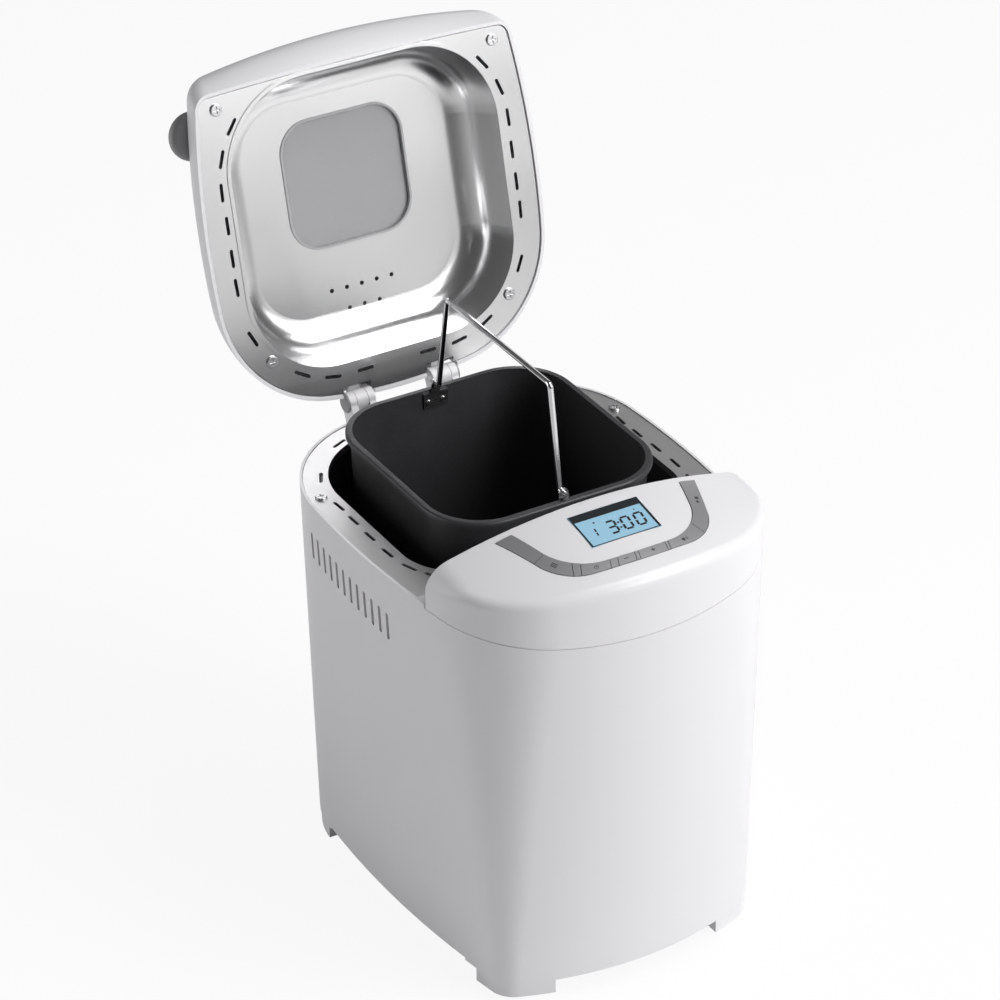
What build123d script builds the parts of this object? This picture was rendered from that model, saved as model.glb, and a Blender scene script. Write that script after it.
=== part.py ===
"""Bread machine: a standing body with a hinged lid, an oven chamber and a lift-out kneading pan.

Every piece is one named node written as its own STEP file. Units are millimetres, +Z is up,
the front (control side) looks along -Y and the origin lies on the table under the kneading shaft.
"""
from build123d import *
import os
from math import atan2, cos, hypot, pi, sin, sqrt

os.makedirs("parts", exist_ok=True)

# ---------------------------------------------------------------- driving sizes
DECK_Z = 284.5          # top face of the steel deck
SKIRT_Z = 14.0          # lower edge of the body skirt
WALL = 2.6              # moulded wall of the body
SHEET = 0.8             # pressed steel sheet
RIM_PROUD = 0.6         # body rim above the deck

BODY_HALF = 124.3       # half width of the body at its rim
BODY_FRONT = -192.5     # front of the body at its rim
BODY_REAR = 115.0       # rear of the body at its rim
FOOT_HALF = 110.0       # half width of the body at its skirt
FOOT_FRONT = -185.0     # front of the body at its skirt
FOOT_REAR = 114.0       # rear of the body at its skirt

DECK_FRONT = -100.0     # straight front edge of the deck
OVEN_HALF_X = 100.9     # half width of the oven mouth
OVEN_HALF_Y = 92.0      # half depth of the oven mouth
OVEN_FLOOR_Z = 115.0    # upper face of the oven floor

HINGE_Y = 129.5         # lid hinge axis
HINGE_Z = 288.1
LID_OPEN = 104.2        # lid angle from closed, resting open
LID_HALF = 125.7        # half width of the lid rim
LID_REAR = 128.0        # rear of the lid rim
LID_FRONT = -102.0      # front of the lid rim
LID_GAP = 1.0           # closed lid rim above the deck
LID_HEIGHT = 46.5       # lid rim to crown
LID_WALL = 2.4

HUMP_Z = 45.3           # highest point of the control hump above the deck
HUMP_BOW = 275.0        # front to back radius of the hump
HUMP_CROWN = 345.0      # side to side radius of the hump
HUMP_AXIS_Y = -93.6     # where the hump would be highest
HUMP_SHOULDER = 22.0    # rounding at both ends of the hump
HUMP_HALF = 119.0
HUMP_WALL = 2.5

PAN_RIM_Z = DECK_Z + 26.0   # seated pan rim
PAN_HALF_X = 79.5           # outer half width of the pan under its rim
PAN_HALF_Y = 84.0
PAN_DEPTH = 165.0
PAN_WALL = 1.6
BAIL_WIRE = 1.9             # radius of the bail wire
BAIL_HEIGHT = 71.0
BAIL_PIVOT_Y = 80.5
BAIL_PIVOT_Z = PAN_RIM_Z + 3.6

SHAFT_R = 5.0           # drive shaft
RUN_FIT = 0.05          # radial play of a turning shaft
SEAT_GAP = 0.15         # play of parts laid in a pocket

PULLEY_Z = 40.0         # lower face of both pulleys
PULLEY_H = 10.0
BIG_PULLEY_R = 46.0
SMALL_PULLEY_R = 9.0
MOTOR_Y = -143.0
FRAME_Z = 88.0          # lower face of the inner frame plate

BASE_Z = 16.0           # lower face of the base plate
BASE_T = 3.0
FOOT_PAD_H = 3.2        # rubber pad below the foot block

CENTRE_UP = (Align.CENTER, Align.CENTER, Align.MIN)


# ---------------------------------------------------------------- helpers
def meet(c1, r1, c2, r2, rear):
    """Right-hand crossing of two circles, taken at the rear or the front."""
    dx = c2[0] - c1[0]
    dy = c2[1] - c1[1]
    gap = hypot(dx, dy)
    along = (r1 * r1 - r2 * r2 + gap * gap) / (2 * gap)
    off = sqrt(r1 * r1 - along * along)
    px = c1[0] + along * dx / gap
    py = c1[1] + along * dy / gap
    first = (px + off * dy / gap, py - off * dx / gap)
    second = (px - off * dy / gap, py + off * dx / gap)
    pair = sorted((first, second), key=lambda p: p[1])
    return pair[1] if rear else pair[0]


def plan(half, widest, side_bow, front, front_bow, rear, rear_bow, front_r, rear_r, inset=0.0):
    """Closed outline with bowed front, rear and sides and four rounded corners."""
    side_c = (half - side_bow, widest)
    front_c = (0.0, front + front_bow)
    rear_c = (0.0, rear - rear_bow)
    sr = side_bow - inset
    fr = front_bow - inset
    rr = rear_bow - inset
    fx, fy = meet(side_c, sr, front_c, fr, False)
    rx, ry = meet(side_c, sr, rear_c, rr, True)
    edges = [
        ThreePointArc((-fx, fy), (0, front + inset), (fx, fy)),
        ThreePointArc((fx, fy), (half - inset, widest), (rx, ry)),
        ThreePointArc((rx, ry), (0, rear - inset), (-rx, ry)),
        ThreePointArc((-rx, ry), (inset - half, widest), (-fx, fy)),
    ]
    face = make_face(Wire(edges).edges())
    face = fillet(face.vertices().sort_by(Axis.Y)[:2], front_r - inset)
    return fillet(face.vertices().sort_by(Axis.Y)[-2:], rear_r - inset)


def body_plan(inset=0.0):
    return plan(BODY_HALF, -22.0, 690.0, BODY_FRONT, 225.0, BODY_REAR, 311.0, 74.0, 90.0, inset)


def foot_plan(inset=0.0):
    return plan(FOOT_HALF, -20.0, 750.0, FOOT_FRONT, 230.0, FOOT_REAR, 300.0, 20.0, 66.0, inset)


def body_loft(z0, z1, inset=0.0):
    """Drafted body volume between two heights."""
    whole = loft([Pos(0, 0, SKIRT_Z) * foot_plan(inset), Pos(0, 0, DECK_Z + RIM_PROUD) * body_plan(inset)])
    return whole & slab(Rectangle(400, 500), z0, z1)


def slab(face, z0, z1):
    return extrude(Pos(0, 0, z0) * face, amount=z1 - z0)


def rod(radius, z0, z1, x=0.0, y=0.0):
    return Pos(x, y, z0) * Cylinder(radius, z1 - z0, align=CENTRE_UP)


def ring(outer, inner, z0, z1, x=0.0, y=0.0):
    return rod(outer, z0, z1, x, y) - rod(inner, z0 - 1, z1 + 1, x, y)


def block(x0, x1, y0, y1, z0, z1):
    centre = Pos((x0 + x1) / 2, (y0 + y1) / 2, (z0 + z1) / 2)
    return centre * Box(x1 - x0, y1 - y0, z1 - z0)


def both_sides(shape):
    return shape + mirror(shape, about=Plane.YZ)


def oven_face(grow=0.0):
    """Oven mouth: tight front corners and wide rear corners."""
    face = Rectangle(2 * (OVEN_HALF_X + grow), 2 * (OVEN_HALF_Y + grow))
    face = fillet(face.vertices().sort_by(Axis.Y)[:2], 41.0 + grow)
    return fillet(face.vertices().sort_by(Axis.Y)[-2:], 61.0 + grow)


def slot_cut(x, y, angle, length, z0, z1, width=2.4):
    """Round-ended slot with its long side turned from +Y."""
    return slab(Pos(x, y) * Rot(0, 0, 90 + angle) * SlotOverall(length, width), z0, z1)


def pan_head_screw(head_r, head_h, shank_r, shank_l):
    """Cross-recessed screw, head up, underside of the head at z = 0."""
    head = fillet(Cylinder(head_r, head_h, align=CENTRE_UP).edges().sort_by(Axis.Z)[-1], head_h * 0.45)
    cross = Box(head_r * 1.2, head_r * 0.26, head_h) + Box(head_r * 0.26, head_r * 1.2, head_h)
    head -= Pos(0, 0, head_h) * cross
    return head + Pos(0, 0, -shank_l) * Cylinder(shank_r, shank_l, align=CENTRE_UP)


def lid_open(shape):
    """Swing a piece drawn on the closed lid to the open rest position."""
    return Pos(0, HINGE_Y, HINGE_Z) * Rot(-LID_OPEN, 0, 0) * Pos(0, -HINGE_Y, -HINGE_Z) * shape


def hump_solid(grow=0.0):
    """Crowned control volume: cross outline turned about a low sideways axis."""
    axis_z = DECK_Z + HUMP_Z - HUMP_BOW
    top = HUMP_BOW + grow
    half = HUMP_HALF + grow
    crown = HUMP_CROWN + grow
    shoulder = HUMP_SHOULDER + grow
    centre_z = HUMP_BOW - HUMP_CROWN
    end_x = half - shoulder
    lean = end_x / (crown - shoulder)
    end_z = centre_z + (crown - shoulder) * sqrt(1 - lean * lean)
    joint = (end_x + shoulder * lean, end_z + shoulder * sqrt(1 - lean * lean))
    turn = atan2(joint[1] - end_z, joint[0] - end_x) / 2
    mid = (end_x + shoulder * cos(turn), end_z + shoulder * sin(turn))
    low = HUMP_BOW - 90.0
    edges = [
        ThreePointArc((-joint[0], joint[1]), (0, top), joint),
        ThreePointArc(joint, mid, (half, end_z)),
        Line((half, end_z), (half, low)),
        Line((half, low), (-half, low)),
        Line((-half, low), (-half, end_z)),
        ThreePointArc((-half, end_z), (-mid[0], mid[1]), (-joint[0], joint[1])),
    ]
    face = Plane.XZ * make_face(Wire(edges).edges())
    turned = revolve(Rot(-40, 0, 0) * face, Axis.X, 80)
    return Pos(0, HUMP_AXIS_Y, axis_z) * turned


def hump_top(x, y):
    """Height of the hump surface, valid away from its shoulders."""
    across = HUMP_CROWN - sqrt(HUMP_CROWN * HUMP_CROWN - x * x)
    bow = sqrt((HUMP_BOW - across) ** 2 - (y - HUMP_AXIS_Y) ** 2)
    return DECK_Z + HUMP_Z - HUMP_BOW + bow


def seam_block(y1=-105.0):
    """Everything above the seam between body and control housing."""
    rise = 9.0
    low = DECK_Z - 13.5
    arc = ThreePointArc((-150, low + rise * 2.1), (0, low), (150, low + rise * 2.1))
    outline = Wire([arc.edge(), Line((150, low + rise * 2.1), (150, 400)).edge(),
                    Line((150, 400), (-150, 400)).edge(),
                    Line((-150, 400), (-150, low + rise * 2.1)).edge()])
    face = Plane.XZ * make_face(outline.edges())
    return Pos(0, y1, 0) * extrude(face, amount=120)


# ---------------------------------------------------------------- body
SEAM_GROOVE = 0.8       # height of the groove along the housing seam
VENT_TOP_Z = 262.0      # upper end of the first side vent
VENT_LEN = 20.0
VENT_PITCH = 9.05
VENT_COUNT = 12
VENT_FIRST_Y = 33.5
HOUSING_WALL_Y = -115.6  # rear wall of the control housing at its middle
BRACKET_X = (25.0, 39.0)  # the two ears of each hinge bracket, inner faces 9 mm apart
EAR_T = 5.0
KNUCKLE_R = 7.0
PIN_R = 2.5
BRACKET_GAP = 0.02      # bracket pads lie on the rear wall


def deck_face(grow=0.0):
    """Deck outline: the body outline set in, cut straight at the front."""
    face = body_plan(2.1 - grow)
    keep = Pos(0, DECK_FRONT - grow + 150) * Rectangle(400, 300)
    return face & keep


def foot_blocks():
    """Four foot blocks under the skirt, each hollowed for its rubber pad."""
    area = slab(foot_plan(1.0), FOOT_PAD_H, BASE_Z)
    front = block(-120, 120, -185, -138, 0, 30)
    rear = block(-120, 120, 50, 120, 0, 30)
    outer = area & (front + rear)
    gap = block(-62, 62, -200, 130, 0, 30)
    blocks = outer - gap
    for x, y in FOOT_SPOTS:
        blocks -= rod(8.6, 0, FOOT_PAD_H + 3.0, x, y)
    return blocks


def front_zone(back=0.0):
    """Plan area in front of the housing's hollow rear wall."""
    bow = 1243.0
    rear = Pos(0, HOUSING_WALL_Y + back + bow) * Circle(bow)
    return Pos(0, -300) * Rectangle(600, 400) - rear


def body_shell():
    top = DECK_Z + RIM_PROUD
    outer = body_loft(SKIRT_Z, top)
    inner = body_loft(SKIRT_Z - 1, top - WALL, WALL)
    shell = outer - inner
    shell += foot_blocks()
    # opening for the deck and the shelf it rests on
    shell -= slab(deck_face(0.3), DECK_Z - 1.2, top + 1)
    shell -= slab(deck_face(-8.0) + oven_face(6.0), DECK_Z - 10, top + 1)
    shelf = slab(deck_face(1.6), DECK_Z - 4.0, DECK_Z - 1.2) - slab(deck_face(-8.0), DECK_Z - 5, top)
    shelf -= slab(oven_face(6.0), DECK_Z - 5, top)
    shell += shelf & body_loft(DECK_Z - 6, DECK_Z, 1.0)
    # front: everything above the housing seam is cut away, a riser and floor close the body
    shell -= seam_block() & slab(front_zone(0.2), 250, 400)
    riser = slab(front_zone(2.6) - front_zone(0.2), 262, DECK_Z - 0.5)
    floor = slab(front_zone(2.6), 260, 262.4)
    wire_way = rod(8, 250, 270, 60, -130)
    shell += (riser + floor - wire_way) & body_loft(250, top, 1.0)
    # shadow groove along the seam
    band = Pos(0, 0, -SEAM_GROOVE) * seam_block() - seam_block()
    band = band & slab(front_zone(0.2), 250, 400)
    shell -= band & (body_loft(250, top, -2.0) - body_loft(249, top, 0.6))
    # skirt arches between the feet
    shell -= block(-FOOT_HALF - 20, FOOT_HALF + 20, -128, 44, 0, BASE_Z)
    # side vents, stepping down towards the front
    for index in range(VENT_COUNT):
        y = VENT_FIRST_Y - VENT_PITCH * index
        high = VENT_TOP_Z - 0.62 * index
        vent = block(-BODY_HALF - 5.7, 29.3 - BODY_HALF, y - 1.5, y + 1.5, high - VENT_LEN, high)
        vent = fillet(vent.edges().filter_by(Axis.X), 1.45)
        shell -= both_sides(vent)
    # rear vents and the cord opening
    for index in range(9):
        x = 14.0 * (index - 4)
        shell -= block(x - 3.5, x + 3.5, 100, 130, 96, 126)
    shell -= Pos(CORD_X, 110, CORD_Z) * Rot(90, 0, 0) * Cylinder(7.2, 30)
    # posts that take the base screws
    for x, y in BASE_SCREWS:
        post = rod(5.5, BASE_Z + BASE_T, 46, x, y)
        shell += (post + post_rib(x, y)) & body_loft(SKIRT_Z, 60, 1.0)
        shell -= rod(1.3, 10, 42, x, y)
    # deck screw bosses
    for x, y in DECK_SCREWS:
        boss = rod(4.0, DECK_Z - 16, DECK_Z - 1.2, x, y) & body_loft(200, top, 0.5)
        shell += boss - rod(1.2, DECK_Z - 14, DECK_Z, x, y)
        shell -= rod(1.2, DECK_Z - 14, DECK_Z, x, y)
    # screw bosses in the ledge beside the housing
    for x, y in LEDGE_SCREWS:
        shell += rod(4.0, DECK_Z - 14, DECK_Z, x, y) & body_loft(200, top, 0.5)
        shell -= rod(1.2, DECK_Z - 12, top + 1, x, y)
    return shell


def hinge_brackets():
    """Two brackets on the rear wall, each with a pad, two webs and two bored ears."""
    brackets = []
    for side in (-1, 1):
        middle = side * sum(BRACKET_X) / 2
        bracket = block(middle - 9.5, middle + 9.5, 109.4, 118.6, 246, 274)
        for ear in BRACKET_X:
            x = side * ear
            web = Plane.YZ * Pos(0, 0, x - EAR_T / 2) * make_face(Polyline(
                (109.4, 248), (109.4, 283.2), (118.5, 283.2), (HINGE_Y - 2.0, HINGE_Z + 6.7),
                (HINGE_Y + 6.9, HINGE_Z - 1.0), (HINGE_Y - 1.0, 268), close=True))
            bracket += extrude(web, amount=EAR_T)
            bracket += Pos(x, HINGE_Y, HINGE_Z) * Rot(0, 90, 0) * Cylinder(KNUCKLE_R, EAR_T)
            bracket -= Pos(x, HINGE_Y, HINGE_Z) * Rot(0, 90, 0) * Cylinder(PIN_R + 0.02, EAR_T + 2)
        brackets.append(bracket - body_loft(SKIRT_Z, DECK_Z + RIM_PROUD, -BRACKET_GAP))
    return brackets


BASE_SCREWS = ((-78, -128), (78, -128), (-88, 60), (88, 60))
DECK_SCREW_X = BODY_HALF - 12.5
LEDGE_SCREW_X = BODY_HALF - 12.7
DECK_SCREWS = ((-DECK_SCREW_X, 35.8), (DECK_SCREW_X, 35.8))
LEDGE_SCREWS = ((-LEDGE_SCREW_X, -105.4), (LEDGE_SCREW_X, -105.4))


def post_rib(x, y):
    """Rib joining a screw post to the nearest side wall."""
    side = 1 if x > 0 else -1
    past = side * (FOOT_HALF + 8.0)
    return block(min(x, past), max(x, past), y - 1.5, y + 1.5, BASE_Z + BASE_T, 44)


def base_plate():
    """Bottom plate laid inside the skirt with vent slots and screw recesses."""
    plate = slab(foot_plan(WALL + 0.5), BASE_Z, BASE_Z + BASE_T)
    for row in range(5):
        for column in range(7):
            x = 16.0 * (column - 3)
            plate -= block(x - 5, x + 5, 14 * row - 22, 14 * row - 17, 10, 30)
    for x, y in BASE_SCREWS:
        plate -= rod(1.8, 10, 30, x, y)
    ribs = block(-84, 84, -100.9, -99.1, BASE_Z + BASE_T, BASE_Z + BASE_T + 8)
    ribs += block(-92, 92, 69.1, 70.9, BASE_Z + BASE_T, BASE_Z + BASE_T + 8)
    return plate + ribs


def rubber_feet():
    """Rubber pads seated in the foot blocks, plus the inboard front pad."""
    pads = []
    for x, y in FOOT_SPOTS:
        pad = Pos(x, y, 0) * Cylinder(8.5, FOOT_PAD_H + 3.0, align=CENTRE_UP)
        pad = fillet(pad.edges().sort_by(Axis.Z)[0], 1.2)
        pads.append(pad)
    return pads


FOOT_SPOTS = ((-75, -154), (75, -154), (-84, 78), (84, 78))


CORD_X = 30.0
CORD_Z = 46.0


def cord_gland():
    """Strain relief bush in the rear wall."""
    bush = Pos(0, 0, -6) * Cylinder(7.15, 10, align=CENTRE_UP)
    bush += Pos(0, 0, 2.4) * Cylinder(10, 2.4, align=CENTRE_UP)
    bush += Pos(0, 0, 4.8) * Cone(6.6, 4.8, 12, align=CENTRE_UP)
    bush -= Pos(0, 0, -7) * Cylinder(3.4, 30, align=CENTRE_UP)
    return Pos(CORD_X, 113.8 - 2.4, CORD_Z) * Rot(-90, 0, 0) * bush


# ---------------------------------------------------------------- control housing and keys
STRIP_PROUD = 0.6       # keys above the hump surface
KEY_FIT = 0.4
KEY_TRAVEL = 0.8
KEY_THICK = 2.2
STEM_R = 2.0
LCD_HALF_X = 25.4
LCD_LEN = 30.8
LCD_TILT = 10.2
LCD_Y = -142.4
STRIP_TOP_Y = -120.6
# inner and outer end of each cut between the strip segments, left to right
KEY_CUTS = (
    ((-53.5, -146.5), (-62.5, -150.3)),
    ((-43.5, -162.0), (-47.3, -170.3)), ((-38.6, -165.0), (-42.2, -172.0)),
    ((-20.9, -170.0), (-23.4, -176.0)), ((-15.2, -170.5), (-17.5, -176.2)),
    ((-3.6, -170.8), (-5.4, -176.8)), ((-0.4, -170.8), (-2.2, -176.8)),
    ((19.0, -170.1), (17.8, -176.0)), ((21.7, -169.9), (20.5, -175.8)),
    ((45.3, -161.4), (48.3, -169.2)),
)


def strip_outline(front_x, front_y, middle_y, rear_x, corner):
    """Panel outline with a bowed front and rounded front corners."""
    arc = ThreePointArc((-front_x, front_y), (0, middle_y), (front_x, front_y))
    right = Line((front_x, front_y), (rear_x, -95))
    back = Line((rear_x, -95), (-rear_x, -95))
    left = Line((-rear_x, -95), (-front_x, front_y))
    face = make_face(Wire([arc.edge(), right.edge(), back.edge(), left.edge()]).edges())
    return fillet(face.vertices().sort_by(Axis.Y)[:2], corner)


def strip_face(grow=0.0):
    """U-shaped strip around the display, open towards the rear and slimmer at the front."""
    full = offset(strip_outline(55.5, -171.5, -177.0, 82.0, 33.0), amount=grow)
    inner = offset(strip_outline(48.5, -166.3, -170.8, 69.4, 36.0), amount=-grow)
    keep = Pos(0, STRIP_TOP_Y + grow - 100) * Rectangle(300, 200)
    return (full - inner) & keep


def cut_ends(index, shift=0.0):
    """A strip cut drawn out past both edges, moved along the strip by the shift."""
    (x0, y0), (x1, y1) = KEY_CUTS[index]
    length = hypot(x1 - x0, y1 - y0)
    along = ((x1 - x0) / length, (y1 - y0) / length)
    side = (-along[1] * shift, along[0] * shift)
    inner = (x0 - along[0] * 10 + side[0], y0 - along[1] * 10 + side[1])
    outer = (x1 + along[0] * 12 + side[0], y1 + along[1] * 12 + side[1])
    return inner, outer


def segment(first, last, first_shift=0.0, last_shift=0.0):
    """Plan area between two cuts."""
    start = cut_ends(first, first_shift)
    end = cut_ends(last, last_shift)
    return make_face(Polyline(start[0], start[1], end[1], end[0], close=True))


def housing_plan(inset=0.0):
    """Front part of the body outline, its rear wall slightly hollow to clear the lid."""
    return body_plan(inset) & front_zone(-inset)


def lcd_place():
    return Pos(0, LCD_Y, hump_top(0, LCD_Y)) * Rot(LCD_TILT, 0, 0)


def control_housing():
    solid = (slab(housing_plan(), 255, 345) & hump_solid()) & seam_block()
    rim = [edge for edge in solid.edges() if edge.center().Z > DECK_Z + 6 and edge.length > 8]
    front = [edge for edge in rim if edge.center().Y < HOUSING_WALL_Y - 6 and edge.center().Z > DECK_Z + 8]
    solid = fillet(front, 8.0)
    rear = [edge for edge in solid.edges() if edge.center().Y > HOUSING_WALL_Y - 2
            and edge.center().Z > DECK_Z + 20 and edge.length > 60]
    solid = fillet(rear, 1.6)
    hollow = slab(housing_plan(HUMP_WALL), 240, 345) & hump_solid(-HUMP_WALL)
    solid -= hollow
    solid -= slab(strip_face(KEY_FIT), 300, 345)
    solid -= lcd_place() * Box(2 * LCD_HALF_X + 2 * SEAT_GAP, LCD_LEN + 2 * SEAT_GAP, 14)
    # screw posts down to the body floor
    for x in (-84, 84):
        solid += rod(4.5, 262.4, hump_top(x, -138) - 1.5, x, -138) - rod(1.3, 262, 280, x, -138)
    return solid


def strip_trim():
    """Fixed left arm and separators of the strip, joined by a web under the panel."""
    web = slab(strip_face(2.4), 300, 345) & (hump_solid(-HUMP_WALL) - hump_solid(-HUMP_WALL - 1.4))
    inner, outer = cut_ends(0, -KEY_FIT)
    arm = make_face(Polyline(inner, outer, (-120, outer[1]), (-120, -90), (inner[0], -90), close=True))
    segments = strip_face(0.0) & arm
    for index in range(1, 9, 2):
        segments += strip_face(0.0) & segment(index, index + 1, KEY_FIT, -KEY_FIT)
    raised = slab(segments, 300, 345) & (hump_solid(STRIP_PROUD) - hump_solid(-HUMP_WALL - 0.7))
    trim = web + raised
    for x, y in KEY_STEMS:
        trim -= rod(STEM_R + 0.6, 290, 345, x, y) & hump_solid(-HUMP_WALL)
    return trim


def on_strip(x):
    """Plan point on the middle of the strip's front arc."""
    return x, -173.9 + x * x / 540


KEY_STEMS = (
    (-53.6, -157.8), on_strip(-31.5), on_strip(-11.0),
    on_strip(8.0), on_strip(32.0), (61.0, -143.0),
)
BOARD_Z = 296.0
SWITCH_H = 5.0


def key_cap(face, stem):
    """Key cap following the hump, with a stem down to its switch."""
    cap = slab(face, 290, 345) & (hump_solid(STRIP_PROUD) - hump_solid(STRIP_PROUD - KEY_THICK))
    low = BOARD_Z + 1.6 + SWITCH_H + KEY_TRAVEL + 0.1
    high = hump_top(stem[0], stem[1]) - 0.6
    return cap + rod(STEM_R, low, high, stem[0], stem[1])


def key(index):
    return key_cap(strip_face(0.0) & segment(2 * index, 2 * index + 1), KEY_STEMS[index])


def start_key():
    inner, outer = cut_ends(9, KEY_FIT)
    region = make_face(Polyline(inner, outer, (120, outer[1]), (120, -90), (inner[0], -90), close=True))
    return key_cap(strip_face(0.0) & region, KEY_STEMS[5])


def tact_switches():
    parts = []
    for x, y in KEY_STEMS:
        body = Pos(x, y, BOARD_Z + 1.6) * Box(6, 6, 3.4, align=CENTRE_UP)
        parts.append(body + rod(1.7, BOARD_Z + 5.0, BOARD_Z + 1.6 + SWITCH_H, x, y))
    return parts


def control_board():
    board = block(-74, 74, -181, -120, BOARD_Z, BOARD_Z + 1.6)
    board = fillet(board.edges().filter_by(Axis.Z), 3)
    board = board & slab(housing_plan(HUMP_WALL + 2), 290, 300)
    for x in (-68, 68):
        board -= rod(1.6, 290, 300, x, -126)
        board += ring(2.8, 1.5, 262.4, BOARD_Z, x, -126)
    return board


def display_module():
    """Display tray with its glass, standing on the control board."""
    tray = lcd_place() * block(-27.5, 27.5, -17.5, 17.5, -9.5, -4.3)
    legs = slab(Pos(0, LCD_Y) * Rectangle(50, 30), BOARD_Z + 1.6, 318)
    legs -= slab(Pos(0, LCD_Y) * Rectangle(46, 26), 290, 320)
    high = lcd_place() * block(-40, 40, -40, 40, -9.4, 60)
    return tray + (legs - high)


def lcd_window():
    pane = lcd_place() * block(-LCD_HALF_X, LCD_HALF_X, -LCD_LEN / 2, LCD_LEN / 2, -4.3, -0.9)
    return pane


# ---------------------------------------------------------------- deck and oven
SLOT_SPOTS = (
    (107.0, 20.5, -3.0), (107.4, 0.5, -1.0), (107.9, -21.8, -1.0), (108.0, -45.0, -3.0),
    (104.6, -66.8, -20.0), (96.6, -83.2, -26.0), (99.8, 58.0, 28.0), (68.5, 90.4, 66.0), (46.0, 99.0, 76.0),
    (22.0, 102.0, 86.0),
)


def deck_plate():
    plate = slab(deck_face(), DECK_Z - 1.2, DECK_Z)
    plate -= slab(oven_face(), DECK_Z - 5, DECK_Z + 1)
    lip = slab(oven_face(0.8), DECK_Z - 5.0, DECK_Z - 0.4) - slab(oven_face(), DECK_Z - 6, DECK_Z)
    plate += lip
    for x, y, angle in SLOT_SPOTS:
        plate -= both_sides(slot_cut(x, y, angle, 12.5, DECK_Z - 3, DECK_Z + 1))
    for x, y in DECK_SCREWS:
        plate -= rod(1.8, DECK_Z - 3, DECK_Z + 1, x, y)
    return plate


def deck_screws():
    return [Pos(x, y, DECK_Z) * pan_head_screw(4.0, 1.5, 1.2, 13) for x, y in DECK_SCREWS]


def ledge_screws():
    return [Pos(x, y, DECK_Z + RIM_PROUD) * pan_head_screw(2.9, 1.3, 1.2, 10) for x, y in LEDGE_SCREWS]


def oven_chamber():
    """Pressed chamber hung under the deck, with a turned-out top flange."""
    top = DECK_Z - 1.2
    wall = slab(oven_face(1.8), OVEN_FLOOR_Z - SHEET, top) - slab(oven_face(1.0), OVEN_FLOOR_Z, top + 1)
    flange = slab(oven_face(5.0), top - SHEET, top) - slab(oven_face(1.0), OVEN_FLOOR_Z, top + 1)
    chamber = wall + flange
    chamber -= rod(14.2, 100, 130)
    chamber -= Pos(0, -93, 165) * Rot(90, 0, 0) * Cylinder(4.2, 12)
    for x in (-22, 22):
        chamber -= Pos(x, 93, ELEMENT_Z) * Rot(90, 0, 0) * Cylinder(3.6, 12)
    for row in range(3):
        for column in range(5):
            x = 12.0 * (column - 2)
            chamber -= Pos(x, 93, 236 + 12 * row) * Rot(90, 0, 0) * Cylinder(2.5, 12)
    return chamber


ELEMENT_Z = 139.0
ELEMENT_R = 3.25


def heating_element():
    """Tubular loop around the oven, both ends leaving through the rear wall."""
    hx = 91.0
    hy = 85.5
    corner = 34.0
    turn = 9.0
    path = Wire([
        Line((22, 104), (22, hy + turn)).edge(),
        ThreePointArc((22, hy + turn), (22 + turn * (1 - cos(pi / 4)), hy + turn * (1 - sin(pi / 4))),
                      (22 + turn, hy)).edge(),
        Line((22 + turn, hy), (hx - corner - 14, hy)).edge(),
        ThreePointArc((hx - corner - 14, hy),
                      (hx - (corner + 14) * (1 - sin(pi / 4)), hy - (corner + 14) * (1 - cos(pi / 4))),
                      (hx, hy - corner - 14)).edge(),
        Line((hx, hy - corner - 14), (hx, -hy + corner)).edge(),
        ThreePointArc((hx, -hy + corner),
                      (hx - corner * (1 - cos(pi / 4)), -hy + corner * (1 - cos(pi / 4))),
                      (hx - corner, -hy)).edge(),
        Line((hx - corner, -hy), (0, -hy)).edge(),
    ])
    section = Plane(origin=(22, 104, 0), z_dir=(0, -1, 0)) * Circle(ELEMENT_R)
    half = sweep(section, path=path)
    loop = half + mirror(half, about=Plane.YZ)
    return Pos(0, 0, ELEMENT_Z) * loop


def element_clips():
    """Spring saddles on the floor carrying the heating element."""
    clips = []
    for side in (-1, 1):
        for y in (-30, 20):
            foot = block(side * 91 - 6, side * 91 + 6, y - 4, y + 4, OVEN_FLOOR_Z, OVEN_FLOOR_Z + 1)
            seat = ELEMENT_Z - ELEMENT_R - 0.8
            stem = block(side * 91 - 1, side * 91 + 1, y - 4, y + 4, OVEN_FLOOR_Z, seat)
            saddle = Pos(side * 91, y, ELEMENT_Z) * Rot(90, 0, 0) * (Cylinder(ELEMENT_R + 1.1, 8)
                                                                      - Cylinder(ELEMENT_R + 0.2, 10))
            saddle -= block(side * 91 - 8, side * 91 + 8, y - 6, y + 6, ELEMENT_Z + 1.0, ELEMENT_Z + 9)
            clips.append(foot + stem + saddle)
    return clips


def temp_sensor():
    """Spring-loaded temperature feeler through the oven front wall."""
    sensor = Pos(0, -86.5, 165) * Rot(90, 0, 0) * Cylinder(4.0, 16, align=CENTRE_UP)
    sensor += Pos(0, -OVEN_HALF_Y - 1.8, 165) * Rot(90, 0, 0) * Cylinder(7.5, 2.0, align=CENTRE_UP)
    return fillet(sensor.edges().filter_by(GeomType.CIRCLE).sort_by(Axis.Y)[-1], 1.5)


def pan_clips():
    """Leaf springs on the oven floor that grip the pan's foot ring."""
    leaves = []
    for side in (-1, 1):
        leaf = block(37.0, 38.2, -10, 10, OVEN_FLOOR_Z, OVEN_FLOOR_Z + 17)
        leaf += block(37.0, 48, -10, 10, OVEN_FLOOR_Z, OVEN_FLOOR_Z + 1.2)
        bead = Pos(37.9, 0, OVEN_FLOOR_Z + 13) * Rot(90, 0, 0) * Cylinder(1.2, 20)
        leaf += bead
        leaves.append(leaf if side > 0 else mirror(leaf, about=Plane.YZ))
    return leaves


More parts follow.
